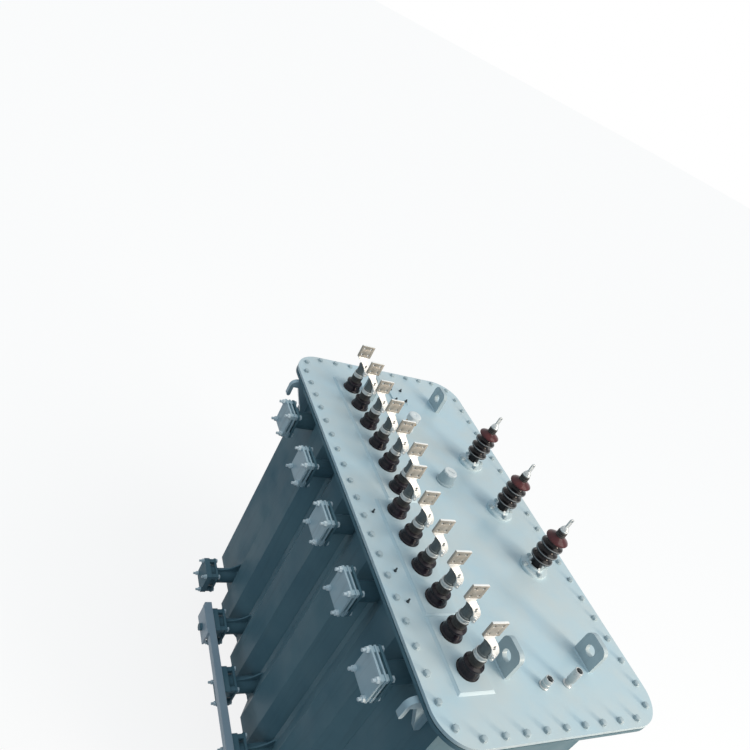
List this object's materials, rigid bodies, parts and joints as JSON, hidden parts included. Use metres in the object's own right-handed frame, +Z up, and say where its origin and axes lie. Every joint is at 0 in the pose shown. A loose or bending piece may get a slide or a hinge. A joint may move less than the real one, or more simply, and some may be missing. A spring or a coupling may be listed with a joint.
{
  "type": "power transformer",
  "caption": "Oil-filled power transformer tank with a bolted cover, a row of low-voltage bushings with palms, high-voltage bushings and blanked radiator valves.",
  "frame": {"origin": "middle of the underside of the skid frame, on the ground under the middle of the tank", "axes": "+Z up, +Y along the tank to its far end, +X towards the high-voltage bushings"},
  "size_m": [1.824, 2.824, 2.614],
  "materials": {
    "bar_steel": "satin",
    "base_paint": "satin",
    "brown_porcelain": "gloss",
    "collar_rubber": "satin",
    "cover_paint": "satin",
    "gasket_rubber": "matte",
    "steel_terminal": "satin",
    "tank_paint": "satin",
    "tinned_terminal": "satin",
    "zinc_fitting": "satin"
  },
  "bodies": {
    "root": {"cover": "cover_paint", "cover_gasket": "gasket_rubber", "cover_nipples": "cover_paint", "end_ribs": "tank_paint", "hv_bushings": "brown_porcelain", "hv_flanges": "cover_paint", "hv_terminals": "steel_terminal", "left_lower_blanks": "tank_paint", "left_lower_pipes": "tank_paint", "left_lower_valves": "tank_paint", "left_ribs": "tank_paint", "left_upper_blanks": "tank_paint", "left_upper_pipes": "tank_paint", "left_upper_valves": "tank_paint", "lifting_hooks": "tank_paint", "lifting_lugs": "cover_paint", "lv_bushings_far": "brown_porcelain", "lv_bushings_near": "brown_porcelain", "lv_collars": "collar_rubber", "lv_pads": "cover_paint", "lv_terminals_far": "tinned_terminal", "lv_terminals_near": "tinned_terminal", "pipe_webs": "tank_paint", "pocket_plate": "cover_paint", "relief_cap": "cover_paint", "right_lower_blanks": "tank_paint", "right_lower_pipes": "tank_paint", "right_lower_valves": "tank_paint", "right_ribs": "tank_paint", "right_upper_blanks": "tank_paint", "right_upper_pipes": "tank_paint", "right_upper_valves": "tank_paint", "rim_far": "tank_paint", "rim_left": "tank_paint", "rim_near": "tank_paint", "rim_right": "tank_paint", "skid_crosses": "base_paint", "skid_left": "base_paint", "skid_right": "base_paint", "tank_bottom": "tank_paint", "tank_far_wall": "tank_paint", "tank_left_wall": "tank_paint", "tank_near_wall": "tank_paint", "tank_right_wall": "tank_paint", "tie_bar": "bar_steel", "vent_cap": "zinc_fitting"}
  },
  "joints": []
}
